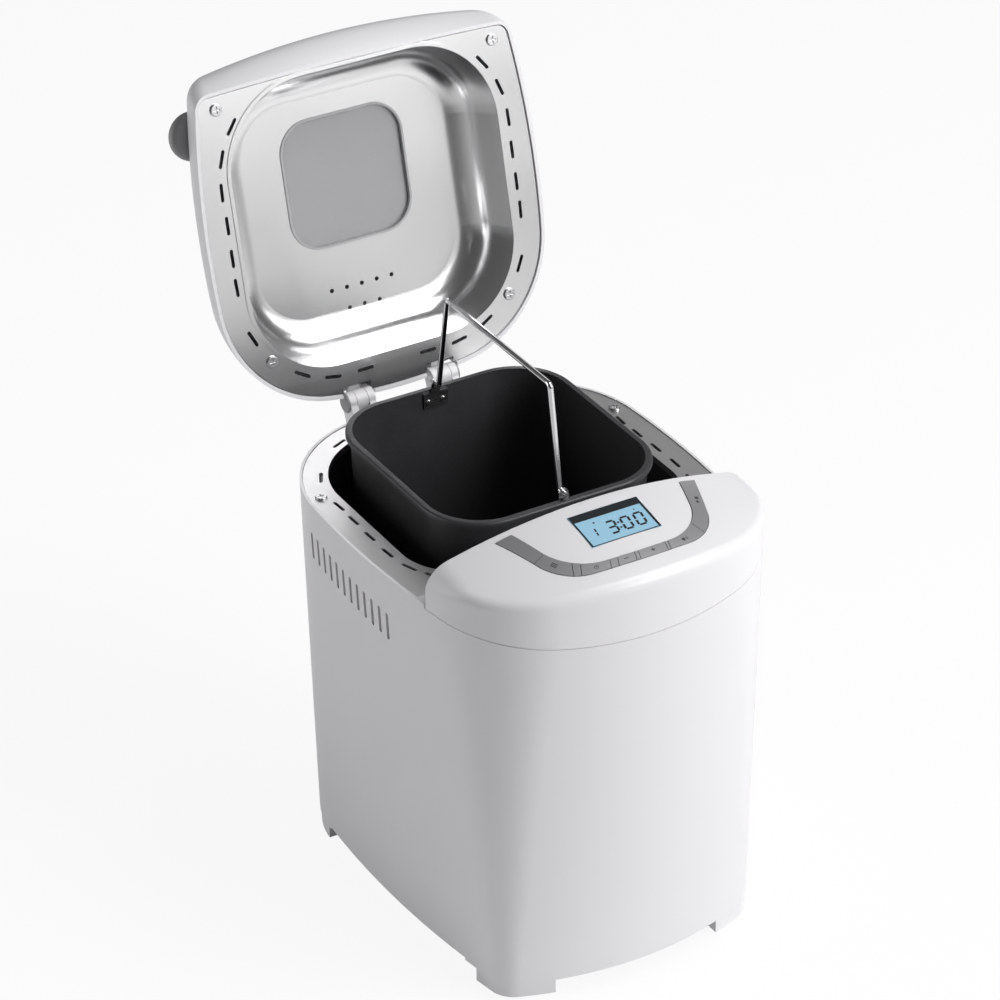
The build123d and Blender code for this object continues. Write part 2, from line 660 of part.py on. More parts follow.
# ---------------------------------------------------------------- pan
PAN_TAPER = 5.5         # how much narrower the pan is at its foot, each side
PAN_RIM_OUT = 3.0       # rim beyond the wall
PAN_CORNER = 39.0
FOOT_RING_R = 36.4
WING_Z = 118.8
PADDLE_Z = 152.0


def pan_face(grow, corner):
    face = Rectangle(2 * (PAN_HALF_X + grow), 2 * (PAN_HALF_Y + grow))
    return fillet(face.vertices(), corner)


def pan_shell():
    top = PAN_RIM_Z
    low = PAN_RIM_Z - PAN_DEPTH
    base = Pos(0, 0, low) * pan_face(-PAN_TAPER, PAN_CORNER - 4)
    outer = loft([base, Pos(0, 0, top) * pan_face(0, PAN_CORNER)])
    outer = fillet(outer.edges().group_by(Axis.Z)[0], 9)
    outer += slab(pan_face(PAN_RIM_OUT, PAN_CORNER + 3), top - 3.6, top)
    outer = fillet(outer.edges().group_by(Axis.Z)[-1], 1.7)
    inner = loft([Pos(0, 0, low + PAN_WALL) * pan_face(-PAN_TAPER - PAN_WALL, PAN_CORNER - 5.6),
                  Pos(0, 0, top + 0.01) * pan_face(-PAN_WALL, PAN_CORNER - PAN_WALL)])
    inner = fillet(inner.edges().group_by(Axis.Z)[0], 8)
    shell = outer - inner
    under = slab(pan_face(PAN_RIM_OUT - 1.4, PAN_CORNER + 1.6), top - 4.0, top - 1.6)
    under -= slab(pan_face(0.4, PAN_CORNER + 0.4), top - 5.0, top)
    shell -= under
    shell -= rod(8.0, low - 1, low + 10)
    # knock ribs on the two long walls
    for x in (-1, 1):
        rib = Pos(x * (PAN_HALF_X - PAN_TAPER - 0.4), 0, low + 10) * Cylinder(3.2, 78, align=CENTRE_UP)
        rib = fillet(rib.edges().sort_by(Axis.Z)[-1], 2.8)
        shell += rib & inner
    return shell


def pan_foot():
    """Cast foot ring under the pan, with windows around the coupling."""
    low = PAN_RIM_Z - PAN_DEPTH
    foot = rod(FOOT_RING_R, OVEN_FLOOR_Z, low) + rod(46, low - 3, low)
    foot = fillet(foot.edges().filter_by(GeomType.CIRCLE).sort_by(Axis.Z)[-3:-2], 0.6)
    foot -= rod(FOOT_RING_R - 3.2, OVEN_FLOOR_Z - 1, low - 3)
    foot -= rod(8.0, low - 5, low + 1)
    for turn in (45, 135):
        foot -= Rot(0, 0, turn) * block(-60, 60, -11, 11, OVEN_FLOOR_Z + 9, low - 9)
    return foot


def pan_bushing():
    """Sleeve sealed through the pan floor."""
    low = PAN_RIM_Z - PAN_DEPTH
    sleeve = rod(7.9, low - 16, low + 4.0)
    sleeve += rod(11.0, low + PAN_WALL, low + 4.4) + rod(11.0, low - 6.0, low - 3.0)
    return sleeve - rod(4.0 + RUN_FIT, low - 20, low + 10)


def pan_shaft():
    """Kneading shaft with its flat and the wing that meets the drive coupler."""
    shaft = rod(4.0, WING_Z, PADDLE_Z + 24)
    shaft = chamfer(shaft.edges().sort_by(Axis.Z)[-1], 0.8)
    shaft -= block(2.6, 6, -6, 6, PADDLE_Z, PADDLE_Z + 30)
    wing = Pos(0, 0, WING_Z) * Box(27, 7.5, 6.5, align=CENTRE_UP)
    wing = fillet(wing.edges().filter_by(Axis.Z), 2)
    return shaft + wing + rod(6.6, WING_Z, PAN_RIM_Z - PAN_DEPTH - 16.2)


def kneading_paddle():
    """Kneading blade: hub with a keyed bore and a raked, tapering blade."""
    hub = rod(8.6, PADDLE_Z, PADDLE_Z + 22)
    side = make_face(Polyline((2, -7.4), (31, -4.2), (34, -1), (34, 1), (31, 4.2), (2, 7.4), close=True))
    profile = ((2, -3.4), (28, -1.9), (30, -0.6), (30, 0.6), (28, 1.9), (2, 3.4))
    crest = make_face(Polyline(*profile, close=True))
    blade = loft([Pos(0, 0, PADDLE_Z) * side, Pos(0, 0, PADDLE_Z + 26) * crest], ruled=True)
    blade = fillet(blade.edges().group_by(Axis.Z)[-1].filter_by(lambda e: e.length > 20), 1.0)
    paddle = hub + blade
    bore = rod(4.1, PADDLE_Z - 1, PADDLE_Z + 40) - block(2.7, 6, -6, 6, PADDLE_Z - 1, PADDLE_Z + 40)
    return paddle - bore


def bail_clips():
    """Ear plates riveted inside the pan wall, one at the front and one at the rear."""
    ear = block(-9, 9, EAR_Y, EAR_Y + 1.2, PAN_RIM_Z - 13, PAN_RIM_Z - 2)
    ear += block(-3.4, 3.4, EAR_Y, EAR_Y + 1.2, PAN_RIM_Z - 6, BAIL_PIVOT_Z)
    ear += Pos(0, EAR_Y, BAIL_PIVOT_Z) * Rot(-90, 0, 0) * Cylinder(3.4, 1.2, align=CENTRE_UP)
    ear -= Pos(0, EAR_Y - 1, BAIL_PIVOT_Z) * Rot(-90, 0, 0) * Cylinder(BAIL_WIRE + 0.1, 4, align=CENTRE_UP)
    for x in (-5.5, 5.5):
        ear += Pos(x, EAR_Y, PAN_RIM_Z - 9) * Rot(90, 0, 0) * Cylinder(1.8, 0.9, align=CENTRE_UP)
    return [ear, mirror(ear, about=Plane.XZ)]


EAR_Y = PAN_HALF_Y - PAN_WALL - 1.65


def bail_handle():
    """Wire bail, drawn upright, its ends turned outwards through the ears."""
    reach = EAR_Y + 4.4
    leg = EAR_Y - 3.7
    top = BAIL_HEIGHT
    path = FilletPolyline((-reach, 0), (-leg, 0), (-leg + 12.5, top), (leg - 12.5, top), (leg, 0), (reach, 0),
                          radius=3.0)
    wire = Plane.YZ * path
    section = Plane(origin=(0, -reach, 0), z_dir=(0, 1, 0)) * Circle(BAIL_WIRE)
    return Pos(0, 0, BAIL_PIVOT_Z) * sweep(section, path=wire)


# ---------------------------------------------------------------- lid (drawn closed)
LINER_Z = DECK_Z + 2.4      # underside of the liner flange on the closed lid
DISH_DEPTH = 36.5
DISH_HALF = 100.5
DISH_FRONT = -96.5
DISH_REAR = 102.0
WINDOW_HALF = 48.5
WINDOW_Y0 = -59.9
WINDOW_Y1 = 34.5
WINDOW_R = 25.0


def lid_plan(step, inset=0.0):
    """Lid outlines from rim to crown: 0 rim, 1 belly, 2 shoulder."""
    sizes = (
        (LID_HALF, 5.0, 640.0, LID_FRONT, 2600.0, LID_REAR, 350.0, 11.0, 84.0),
        (122.3, 3.0, 640.0, -113.6, 700.0, LID_REAR - 3.5, 350.0, 13.0, 82.0),
        (113.5, 0.0, 640.0, -109.0, 700.0, LID_REAR - 12.0, 350.0, 21.0, 76.0),
    )
    return plan(*sizes[step], inset)


def lid_volume(inset=0.0, cap=0.0):
    rim = DECK_Z + LID_GAP
    heights = (rim, rim + 17.0, rim + 36.0)
    sections = [Pos(0, 0, heights[step]) * lid_plan(step, inset) for step in range(3)]
    crown = [
        Pos(0, 0, heights[2]) * lid_plan(2, inset),
        Pos(0, 0, rim + LID_HEIGHT - cap) * lid_plan(2, inset + 10.5),
    ]
    return loft(sections) + loft(crown)


def lid_shell():
    rim = DECK_Z + LID_GAP
    outer = lid_volume()
    top_edges = [edge for edge in outer.edges() if edge.center().Z > rim + 34 and edge.length > 12]
    outer = fillet(top_edges, 5.0)
    inner = lid_volume(LID_WALL, LID_WALL)
    shell = outer - inner
    shell -= slab(window_face(-3.0), rim + 20, rim + 60)
    # notches for the body's hinge ears
    for side in (-1, 1):
        middle = side * sum(BRACKET_X) / 2
        shell -= block(middle - 12.0, middle + 12.0, 116, 140, rim - 2, HINGE_Z + 9.0)
    for arm in lid_knuckles():
        shell += arm
    # screw posts above the liner
    for x, y in LID_SCREWS:
        shell += rod(4.2, LINER_Z + SHEET, rim + LID_HEIGHT - 2, x, y) & outer
        shell -= rod(1.3, LINER_Z - 3, LINER_Z + 16, x, y)
    return shell


LID_SCREW_X = (LID_HALF - 22.1, LID_HALF - 34.5)
LID_SCREWS = (
    (-LID_SCREW_X[0], -88.0), (LID_SCREW_X[0], -88.0),
    (-LID_SCREW_X[1], 87.0), (LID_SCREW_X[1], 87.0),
)
LID_SLOTS = (
    (LID_HALF - 31.4, -74.6, -37.0), (LID_HALF - 20.9, -55.1, -19.0), (LID_HALF - 17.4, -33.3, -2.0),
    (LID_HALF - 17.8, -10.8, 0.0), (LID_HALF - 17.6, 11.4, 0.0), (LID_HALF - 17.4, 31.3, 2.0),
    (LID_HALF - 23.3, 68.1, 26.0), (70.7, LID_REAR - 26.8, 60.0), (48.6, LID_REAR - 19.2, 80.0),
    (24.1, LID_REAR - 18.3, 90.0),
)


def window_face(grow=0.0):
    face = Rectangle(2 * (WINDOW_HALF + grow), WINDOW_Y1 - WINDOW_Y0 + 2 * grow)
    face = fillet(face.vertices(), WINDOW_R + grow)
    return Pos(0, (WINDOW_Y0 + WINDOW_Y1) / 2) * face


def dish_face(grow=0.0):
    depth = DISH_REAR - DISH_FRONT + 2 * grow
    face = Pos(0, (DISH_FRONT + DISH_REAR) / 2) * Rectangle(2 * (DISH_HALF + grow), depth)
    return fillet(face.vertices(), 60.0 + grow)


def dish_solid(grow, depth):
    """Tapered dish volume with a generous radius around its floor."""
    solid = extrude(Pos(0, 0, LINER_Z) * dish_face(grow), amount=depth, taper=13)
    return fillet(solid.edges().group_by(Axis.Z)[-1], 21.0 + grow)


def liner_flange_face():
    face = lid_plan(0, LID_WALL + 0.7)
    for side in (-1, 1):
        middle = side * sum(BRACKET_X) / 2
        face -= Pos(middle, 130) * Rectangle(21, 23)
    return face


def lid_liner():
    """Pressed liner: flange, rolled bead, deep dish, vent holes and window hole."""
    flange = slab(liner_flange_face(), LINER_Z, LINER_Z + SHEET)
    dish = dish_solid(SHEET, DISH_DEPTH + SHEET)
    liner = flange + dish
    liner -= dish_solid(0.0, DISH_DEPTH)
    bead = slab(dish_face(2.6), LINER_Z - 0.6, LINER_Z + 0.2) - slab(dish_face(0.0), LINER_Z - 2, LINER_Z + 2)
    liner += bead
    liner -= slab(window_face(-2.0), LINER_Z + 20, LINER_Z + 60)
    for index in range(5):
        liner -= rod(1.5, LINER_Z + 20, LINER_Z + 60, 11.5 * (index - 2), 62.3)
    for index in range(3):
        liner -= rod(1.4, LINER_Z + 20, LINER_Z + 60, 11.5 * (index - 1), 76.8)
    for x, y, angle in LID_SLOTS:
        liner -= both_sides(slot_cut(x, y, angle, 12.5, LINER_Z - 3, LINER_Z + 4))
    for x, y in LID_SCREWS:
        liner -= rod(1.9, LINER_Z - 3, LINER_Z + 4, x, y)
    return liner


def lid_screws():
    screws = []
    for x, y in LID_SCREWS:
        screws.append(Pos(x, y, LINER_Z) * Rot(180, 0, 0) * pan_head_screw(4.2, 1.4, 1.25, 12))
    return screws


GLASS_Z = LINER_Z + DISH_DEPTH + SHEET


def window_gasket():
    """Silicone frame between liner and glass."""
    frame = slab(window_face(3.4), GLASS_Z, GLASS_Z + 1.2) - slab(window_face(-1.6), GLASS_Z - 1, GLASS_Z + 3)
    lip = slab(window_face(-2.1), GLASS_Z - SHEET - 0.8, GLASS_Z + 1.2)
    lip -= slab(window_face(-3.6), GLASS_Z - 4, GLASS_Z + 3)
    step = slab(window_face(-1.0), GLASS_Z, GLASS_Z + 1.2) - slab(window_face(-3.6), GLASS_Z - 4, GLASS_Z + 3)
    return frame + lip + step


def window_glass():
    return slab(window_face(2.6), GLASS_Z + 1.2, GLASS_Z + 3.4)


def window_lens():
    """Clear outer lens set into the lid crown."""
    rim = DECK_Z + LID_GAP
    under = rim + LID_HEIGHT - LID_WALL
    lens = slab(window_face(-3.0 - SEAT_GAP), under - 1.6, under + LID_WALL + 0.3)
    lens = fillet(lens.edges().group_by(Axis.Z)[-1], 0.3)
    return lens + slab(window_face(2.0), under - 1.6, under)


def lid_grips():
    """Half-disc grips, one moulded onto each side of the lid."""
    centre_y = -66.4
    z = DECK_Z + LID_GAP + 31.0
    disc = Pos(LID_HALF - 17.7, centre_y, z) * Cylinder(16.5, 8.0, align=CENTRE_UP)
    disc = fillet(disc.edges().filter_by(GeomType.CIRCLE), 3.2)
    grip = disc - lid_volume(-0.25)
    return [grip, mirror(grip, about=Plane.YZ)]


def lid_knuckles():
    """Knuckles moulded on the lid, each joined to the rear wall by an arm."""
    arms = []
    for side in (-1, 1):
        middle = side * sum(BRACKET_X) / 2
        half = (BRACKET_X[1] - BRACKET_X[0]) / 2 - EAR_T / 2 - 0.35
        profile = Plane.YZ * Pos(0, 0, middle - half) * make_face(Polyline(
            (HINGE_Y - 3, HINGE_Z + 6.3), (HINGE_Y + 4.0, HINGE_Z + 5.6), (121.5, HINGE_Z + 10.5),
            (119.5, HINGE_Z + 20), (108.0, HINGE_Z + 20), (108.0, HINGE_Z + 14), (117, HINGE_Z + 3.0), close=True))
        arm = extrude(profile, amount=2 * half)
        arm += Pos(middle, HINGE_Y, HINGE_Z) * Rot(0, 90, 0) * Cylinder(KNUCKLE_R, 2 * half)
        arm -= Pos(middle, HINGE_Y, HINGE_Z) * Rot(0, 90, 0) * Cylinder(PIN_R + RUN_FIT, 2 * half + 2)
        arms.append(arm)
    return arms


def hinge_pins():
    pins = []
    for side in (-1, 1):
        middle = side * sum(BRACKET_X) / 2
        span = BRACKET_X[1] - BRACKET_X[0] + EAR_T
        pin = Pos(middle, HINGE_Y, HINGE_Z) * Rot(0, 90, 0) * Cylinder(PIN_R, span)
        pins.append(fillet(pin.edges().filter_by(GeomType.CIRCLE), 0.5))
    return pins


def hinge_caps():
    """Grey half-disc covers over the outer face of each hinge bracket."""
    caps = []
    for side in (-1, 1):
        x = side * (BRACKET_X[1] + EAR_T / 2)
        cap = Pos(x, HINGE_Y, HINGE_Z) * Rot(0, 90 * side, 0) * Cylinder(KNUCKLE_R - 0.2, 1.6, align=CENTRE_UP)
        caps.append(fillet(cap.edges().filter_by(GeomType.CIRCLE).sort_by(Axis.X)[-1 if side > 0 else 0], 0.8))
    return caps


# ---------------------------------------------------------------- drive
BEARING_R = 14.0
BELT_T = 2.0


def support_frame():
    """Folded frame carrying the oven and the motor."""
    plate = block(-70, 70, -166, 74, FRAME_Z, FRAME_Z + 2)
    plate = fillet(plate.edges().filter_by(Axis.Z), 8)
    plate -= rod(BEARING_R + 0.2, 80, 100)
    plate -= rod(12.5, 80, 100, 0, MOTOR_Y)
    for x in (-42, 42):
        plate -= fillet(block(x - 10, x + 10, -60, 50, 80, 100).edges().filter_by(Axis.Z), 6)
    floor = BASE_Z + BASE_T
    for x in (-69, 69):
        for y in (-146, 52):
            plate += block(x - 1, x + 1, y - 12, y + 12, floor, FRAME_Z + 2)
            plate += block(min(x, x * 0.86), max(x, x * 0.86), y - 12, y + 12, floor, floor + 2)
    for x in (-58, 58):
        for y in (-62, 62):
            plate += ring(5, 2, FRAME_Z + 2, OVEN_FLOOR_Z - SHEET, x, y)
    return plate


def main_bearing():
    bearing = rod(BEARING_R, 76, OVEN_FLOOR_Z + 0.4)
    bearing += rod(25, OVEN_FLOOR_Z - SHEET - 3, OVEN_FLOOR_Z - SHEET)
    bearing += rod(22, FRAME_Z - 3, FRAME_Z)
    return bearing - rod(SHAFT_R + RUN_FIT, 70, 120)


def drive_shaft():
    shaft = rod(SHAFT_R, PULLEY_Z - 6, OVEN_FLOOR_Z + 3.2)
    shaft -= ring(SHAFT_R + 1, SHAFT_R - 0.8, PULLEY_Z - 2.6, PULLEY_Z - 1.4)
    return chamfer(shaft.edges().sort_by(Axis.Z)[0], 0.6)


def drive_coupler():
    """Disc with two lugs that push the wing of the pan's shaft."""
    low = OVEN_FLOOR_Z + 1.2
    disc = rod(17, low, low + 2.0) - rod(SHAFT_R, low - 1, low + 3)
    for side in (-1, 1):
        lug = block(-15, -7, 4.4, 10, low, low + 8) if side > 0 else block(7, 15, -10, -4.4, low, low + 8)
        disc += lug & rod(17, low, low + 8)
    return disc


def pulley(radius, hub, bore, x=0.0, y=0.0, spokes=0):
    """Flat-groove belt pulley, solid or with windows in its web."""
    wheel = rod(radius, PULLEY_Z, PULLEY_Z + PULLEY_H, x, y)
    wheel -= ring(radius + 2, radius - 1.6, PULLEY_Z + 1.4, PULLEY_Z + PULLEY_H - 1.4, x, y)
    if spokes:
        wheel -= ring(radius - 5, hub, PULLEY_Z - 1, PULLEY_Z + 3.2, x, y)
        wheel -= ring(radius - 5, hub, PULLEY_Z + PULLEY_H - 3.2, PULLEY_Z + PULLEY_H + 1, x, y)
        for index in range(spokes):
            angle = 2 * pi * index / spokes
            far = (radius + hub - 5) / 2
            hole = (x + far * cos(angle), y + far * sin(angle))
            wheel -= rod(7.5, PULLEY_Z - 1, PULLEY_Z + PULLEY_H + 1, *hole)
    return wheel - rod(bore, PULLEY_Z - 1, PULLEY_Z + PULLEY_H + 1, x, y)


def belt_outline(grow):
    """Outer line of an open belt around both pulleys."""
    big = BIG_PULLEY_R - 1.6 + grow
    small = SMALL_PULLEY_R - 1.6 + grow
    lean = (big - small) / -MOTOR_Y
    run = sqrt(1 - lean * lean)
    b1 = (big * run, -big * lean)
    s1 = (small * run, MOTOR_Y - small * lean)
    return make_face(Wire([
        ThreePointArc(b1, (0, big), (-b1[0], b1[1])).edge(),
        Line((-b1[0], b1[1]), (-s1[0], s1[1])).edge(),
        ThreePointArc((-s1[0], s1[1]), (0, MOTOR_Y - small), s1).edge(),
        Line(s1, b1).edge(),
    ]).edges())


def drive_belt():
    low = PULLEY_Z + 1.4 + 0.2
    high = PULLEY_Z + PULLEY_H - 1.4 - 0.2
    return slab(belt_outline(0.2 + BELT_T), low, high) - slab(belt_outline(0.2), low - 1, high + 1)


def shaft_circlip():
    clip = ring(8.5, SHAFT_R - 0.8, PULLEY_Z - 2.5, PULLEY_Z - 1.5)
    return clip - block(0, 10, -1.6, 1.6, PULLEY_Z - 4, PULLEY_Z)


def motor_body():
    """Can motor standing on the frame."""
    low = FRAME_Z + 2
    can = rod(31, low, low + 58, 0, MOTOR_Y)
    can = fillet(can.edges().sort_by(Axis.Z)[-1], 4)
    can += rod(12, low - 6, low, 0, MOTOR_Y)
    for x in (-1, 1):
        can += block(min(x * 29, x * 38), max(x * 29, x * 38), MOTOR_Y - 7, MOTOR_Y + 7, low, low + 3)
    can -= rod(3.0 + RUN_FIT, low - 10, low + 40, 0, MOTOR_Y)
    for index in range(8):
        angle = 2 * pi * index / 8
        x = 22 * cos(angle)
        y = MOTOR_Y + 22 * sin(angle)
        can -= rod(3, low + 50, low + 70, x, y)
    return can


def motor_shaft():
    return rod(3.0, PULLEY_Z - 3, FRAME_Z + 32, 0, MOTOR_Y)


def motor_pulley():
    wheel = pulley(SMALL_PULLEY_R, 5, 3.0, 0, MOTOR_Y)
    return wheel


def run_capacitor():
    body = rod(13, FRAME_Z + 2, FRAME_Z + 44, -53, -138)
    body = fillet(body.edges().sort_by(Axis.Z)[-1], 2)
    return body + ring(2.0, 1.0, FRAME_Z + 40, FRAME_Z + 50, -53, -138)


def power_board():
    """Upright power board with its heat sink and terminals."""
    board = block(66.0, 67.6, -160, -112, FRAME_Z + 2, 196)
    board += block(59, 66, -150, -124, 150, 190)
    for index in range(4):
        z = 154 + 10 * index
        board -= block(57, 63, -152, -122, z, z + 4)
    board += block(58, 66, -156, -146, 122, 134) + block(58, 66, -138, -124, 122, 134)
    return board


# ---------------------------------------------------------------- all nodes
def write(name, shape):
    pieces = shape if isinstance(shape, list) else [shape]
    solids = []
    for piece in pieces:
        solids.extend(piece.solids())
    body = solids[0] if len(solids) == 1 else Compound(children=solids)
    export_step(body, os.path.join("parts", name + ".step"))


def on_lid(shape):
    if isinstance(shape, list):
        return [lid_open(piece) for piece in shape]
    return lid_open(shape)


NODES = {
    "body_shell": body_shell,
    "hinge_brackets": hinge_brackets,
    "base_plate": base_plate,
    "rubber_feet": rubber_feet,
    "cord_gland": cord_gland,
    "control_housing": control_housing,
    "strip_trim": strip_trim,
    "key_1": lambda: key(0),
    "key_2": lambda: key(1),
    "key_3": lambda: key(2),
    "key_4": lambda: key(3),
    "key_5": lambda: key(4),
    "start_key": start_key,
    "tact_switches": tact_switches,
    "control_board": control_board,
    "display_module": display_module,
    "lcd_window": lcd_window,
    "deck_plate": deck_plate,
    "deck_screws": deck_screws,
    "ledge_screws": ledge_screws,
    "oven_chamber": oven_chamber,
    "heating_element": heating_element,
    "element_clips": element_clips,
    "temp_sensor": temp_sensor,
    "pan_clips": pan_clips,
    "pan_shell": pan_shell,
    "pan_foot": pan_foot,
    "pan_bushing": pan_bushing,
    "pan_shaft": pan_shaft,
    "kneading_paddle": kneading_paddle,
    "bail_clips": bail_clips,
    "bail_handle": bail_handle,
    "lid_shell": lambda: on_lid(lid_shell()),
    "lid_liner": lambda: on_lid(lid_liner()),
    "lid_screws": lambda: on_lid(lid_screws()),
    "window_gasket": lambda: on_lid(window_gasket()),
    "window_glass": lambda: on_lid(window_glass()),
    "window_lens": lambda: on_lid(window_lens()),
    "lid_grips": lambda: on_lid(lid_grips()),
    "hinge_pins": hinge_pins,
    "hinge_caps": hinge_caps,
    "support_frame": support_frame,
    "main_bearing": main_bearing,
    "drive_shaft": drive_shaft,
    "drive_coupler": drive_coupler,
    "large_pulley": lambda: pulley(BIG_PULLEY_R, 12, SHAFT_R, 0, 0, 6),
    "shaft_circlip": shaft_circlip,
    "drive_belt": drive_belt,
    "motor_body": motor_body,
    "motor_shaft": motor_shaft,
    "motor_pulley": motor_pulley,
    "run_capacitor": run_capacitor,
    "power_board": power_board,
}

for node, make in NODES.items():
    write(node, make())
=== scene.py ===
# %% [markdown]
# # Bread machine in cells
#
# The imported CAD part is the frame: every piece below sits in the same metres as the solids.
# First the tools are loaded and the solids are imported, each with its placement applied to its mesh.

# %% Load the frame
import math

import bpy
from mathutils import Matrix, Vector


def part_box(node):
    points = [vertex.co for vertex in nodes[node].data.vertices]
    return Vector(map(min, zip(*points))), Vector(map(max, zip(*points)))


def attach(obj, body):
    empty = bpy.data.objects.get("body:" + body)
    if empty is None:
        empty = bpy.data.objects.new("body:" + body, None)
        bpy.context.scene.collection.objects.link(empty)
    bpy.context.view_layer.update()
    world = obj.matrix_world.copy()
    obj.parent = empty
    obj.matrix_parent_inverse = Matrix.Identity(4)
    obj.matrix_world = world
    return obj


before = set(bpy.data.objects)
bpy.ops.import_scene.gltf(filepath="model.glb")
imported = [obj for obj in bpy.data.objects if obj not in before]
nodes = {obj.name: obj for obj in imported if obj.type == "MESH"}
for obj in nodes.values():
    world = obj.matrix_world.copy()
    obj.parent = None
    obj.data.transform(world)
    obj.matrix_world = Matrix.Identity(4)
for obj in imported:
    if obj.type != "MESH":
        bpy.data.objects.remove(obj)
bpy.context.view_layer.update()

# %% [markdown]
# ## Camera
#
# A long lens from the front left, looking down, as a product shot is taken. The camera stands
# where its target plus a distance along its own backward direction puts it.

# %% Camera
AZIMUTH = math.radians(30.54)
ELEVATION = math.radians(31.29)
ROLL = math.radians(-0.27)
TARGET = Vector((0.00423, 0.005, 0.2625))
DISTANCE = 2.755
SENSOR = 36
LENS = 151.2

reach = math.cos(ELEVATION)
back = Vector((-math.sin(AZIMUTH) * reach, -math.cos(AZIMUTH) * reach, math.sin(ELEVATION)))
right = (-back).cross(Vector((0, 0, 1))).normalized()
up = right.cross(-back)
rolled_right = right * math.cos(ROLL) + up * math.sin(ROLL)
rolled_up = up * math.cos(ROLL) - right * math.sin(ROLL)
camera_data = bpy.data.cameras.new("camera")
camera_data.sensor_width = SENSOR
camera_data.lens = LENS
camera = bpy.data.objects.new("camera", camera_data)
axes = Matrix((rolled_right, rolled_up, back)).transposed().to_4x4()
camera.matrix_world = Matrix.Translation(TARGET + back * DISTANCE) @ axes
bpy.context.scene.collection.objects.link(camera)
bpy.context.scene.camera = camera
print("camera at", [round(v, 3) for v in camera.matrix_world.translation])

# %% [markdown]
# ## Material helpers
#
# Moulded plastic, pressed sheet and non-stick coating all start from the same shader. Each
# finish gets its own small pattern: a helper adds noise on the object's own coordinates and
# sends it to roughness and bump, so the surface is never one flat value.

# %% Helpers for node materials
def new_material(name, color, metallic=0.0, roughness=0.4, **sockets):
    """One shader with its constant values set on its own sockets."""
    material = bpy.data.materials.new(name)
    material.use_nodes = True
    shader = material.node_tree.nodes["Principled BSDF"]
    shader.inputs["Base Color"].default_value = (*color, 1.0)
    shader.inputs["Metallic"].default_value = metallic
    shader.inputs["Roughness"].default_value = roughness
    for label, value in sockets.items():
        shader.inputs[label.replace("_", " ")].default_value = value
    return material


def noise(material, scale, detail=3.0, stretch=(1, 1, 1), turn=(0, 0, 0)):
    """Noise on Object coordinates, stretched where the grain runs one way."""
    tree = material.node_tree
    place = tree.nodes.new("ShaderNodeTexCoord")
    mapping = tree.nodes.new("ShaderNodeMapping")
    mapping.inputs["Scale"].default_value = stretch
    mapping.inputs["Rotation"].default_value = turn
    pattern = tree.nodes.new("ShaderNodeTexNoise")
    pattern.inputs["Scale"].default_value = scale
    pattern.inputs["Detail"].default_value = detail
    tree.links.new(place.outputs["Object"], mapping.inputs["Vector"])
    tree.links.new(mapping.outputs["Vector"], pattern.inputs["Vector"])
    return pattern.outputs["Fac"]


def spread(material, source, low, high, into):
    """Maps a 0 to 1 pattern to a range and feeds it to a shader socket."""
    tree = material.node_tree
    ramp = tree.nodes.new("ShaderNodeMapRange")
    ramp.inputs["From Min"].default_value = 0.2
    ramp.inputs["From Max"].default_value = 0.8
    ramp.inputs["To Min"].default_value = low
    ramp.inputs["To Max"].default_value = high
    tree.links.new(source, ramp.inputs["Value"])
    tree.links.new(ramp.outputs["Result"], tree.nodes["Principled BSDF"].inputs[into])


def bump(material, source, depth, strength=0.3):
    """Raises a pattern from the surface by a real depth in metres."""
    tree = material.node_tree
    relief = tree.nodes.new("ShaderNodeBump")
    relief.inputs["Distance"].default_value = depth
    relief.inputs["Strength"].default_value = strength
    tree.links.new(source, relief.inputs["Height"])
    tree.links.new(relief.outputs["Normal"], tree.nodes["Principled BSDF"].inputs["Normal"])


def tint(material, source, first, second):
    """Blends two colours by a pattern."""
    tree = material.node_tree
    mix = tree.nodes.new("ShaderNodeMix")
    mix.data_type = "RGBA"
    mix.inputs["A"].default_value = (*first, 1.0)
    mix.inputs["B"].default_value = (*second, 1.0)
    tree.links.new(source, mix.inputs["Factor"])
    tree.links.new(mix.outputs["Result"], tree.nodes["Principled BSDF"].inputs["Base Color"])


print("material helpers ready")

# %% [markdown]
# ## White moulding
#
# The housing is glossy white ABS. Injection moulding leaves very slight waves in the gloss and
# a roughness that changes a little from place to place.

# %% White plastic
white = new_material("white_moulding", (0.80, 0.79, 0.81), roughness=0.3)
spread(white, noise(white, 9.0, 1.0), 0.28, 0.32, "Roughness")
bump(white, noise(white, 16.0, 1.0), 0.0001, 0.02)
tint(white, noise(white, 3.0, 1.0), (0.80, 0.79, 0.81), (0.805, 0.795, 0.815))

white_under = new_material("white_underside", (0.62, 0.62, 0.63), roughness=0.5)
grain = noise(white_under, 900.0, 3.0)
spread(white_under, grain, 0.42, 0.58, "Roughness")
bump(white_under, grain, 0.00005, 0.4)
print("white mouldings ready")

# %% [markdown]
# ## Sheet metals
#
# Deck and oven are pressed sheet. The rolling direction shows as fine lines along X, made by
# stretching noise along the grain. The lid liner is brighter and smoother.

# %% Sheet metals
deck_metal = new_material("deck_sheet", (0.62, 0.615, 0.62), metallic=1.0, roughness=0.3)
lines = noise(deck_metal, 60.0, 4.0, (0.6, 30.0, 30.0))
spread(deck_metal, lines, 0.4, 0.48, "Roughness")
bump(deck_metal, lines, 0.00001, 0.2)

liner_metal = new_material("liner_sheet", (0.77, 0.77, 0.775), metallic=1.0, roughness=0.22)
spread(liner_metal, noise(liner_metal, 9.0, 1.0), 0.2, 0.25, "Roughness")
bump(liner_metal, noise(liner_metal, 900.0, 2.0, (0.05, 1.0, 1.0)), 0.00001, 0.1)

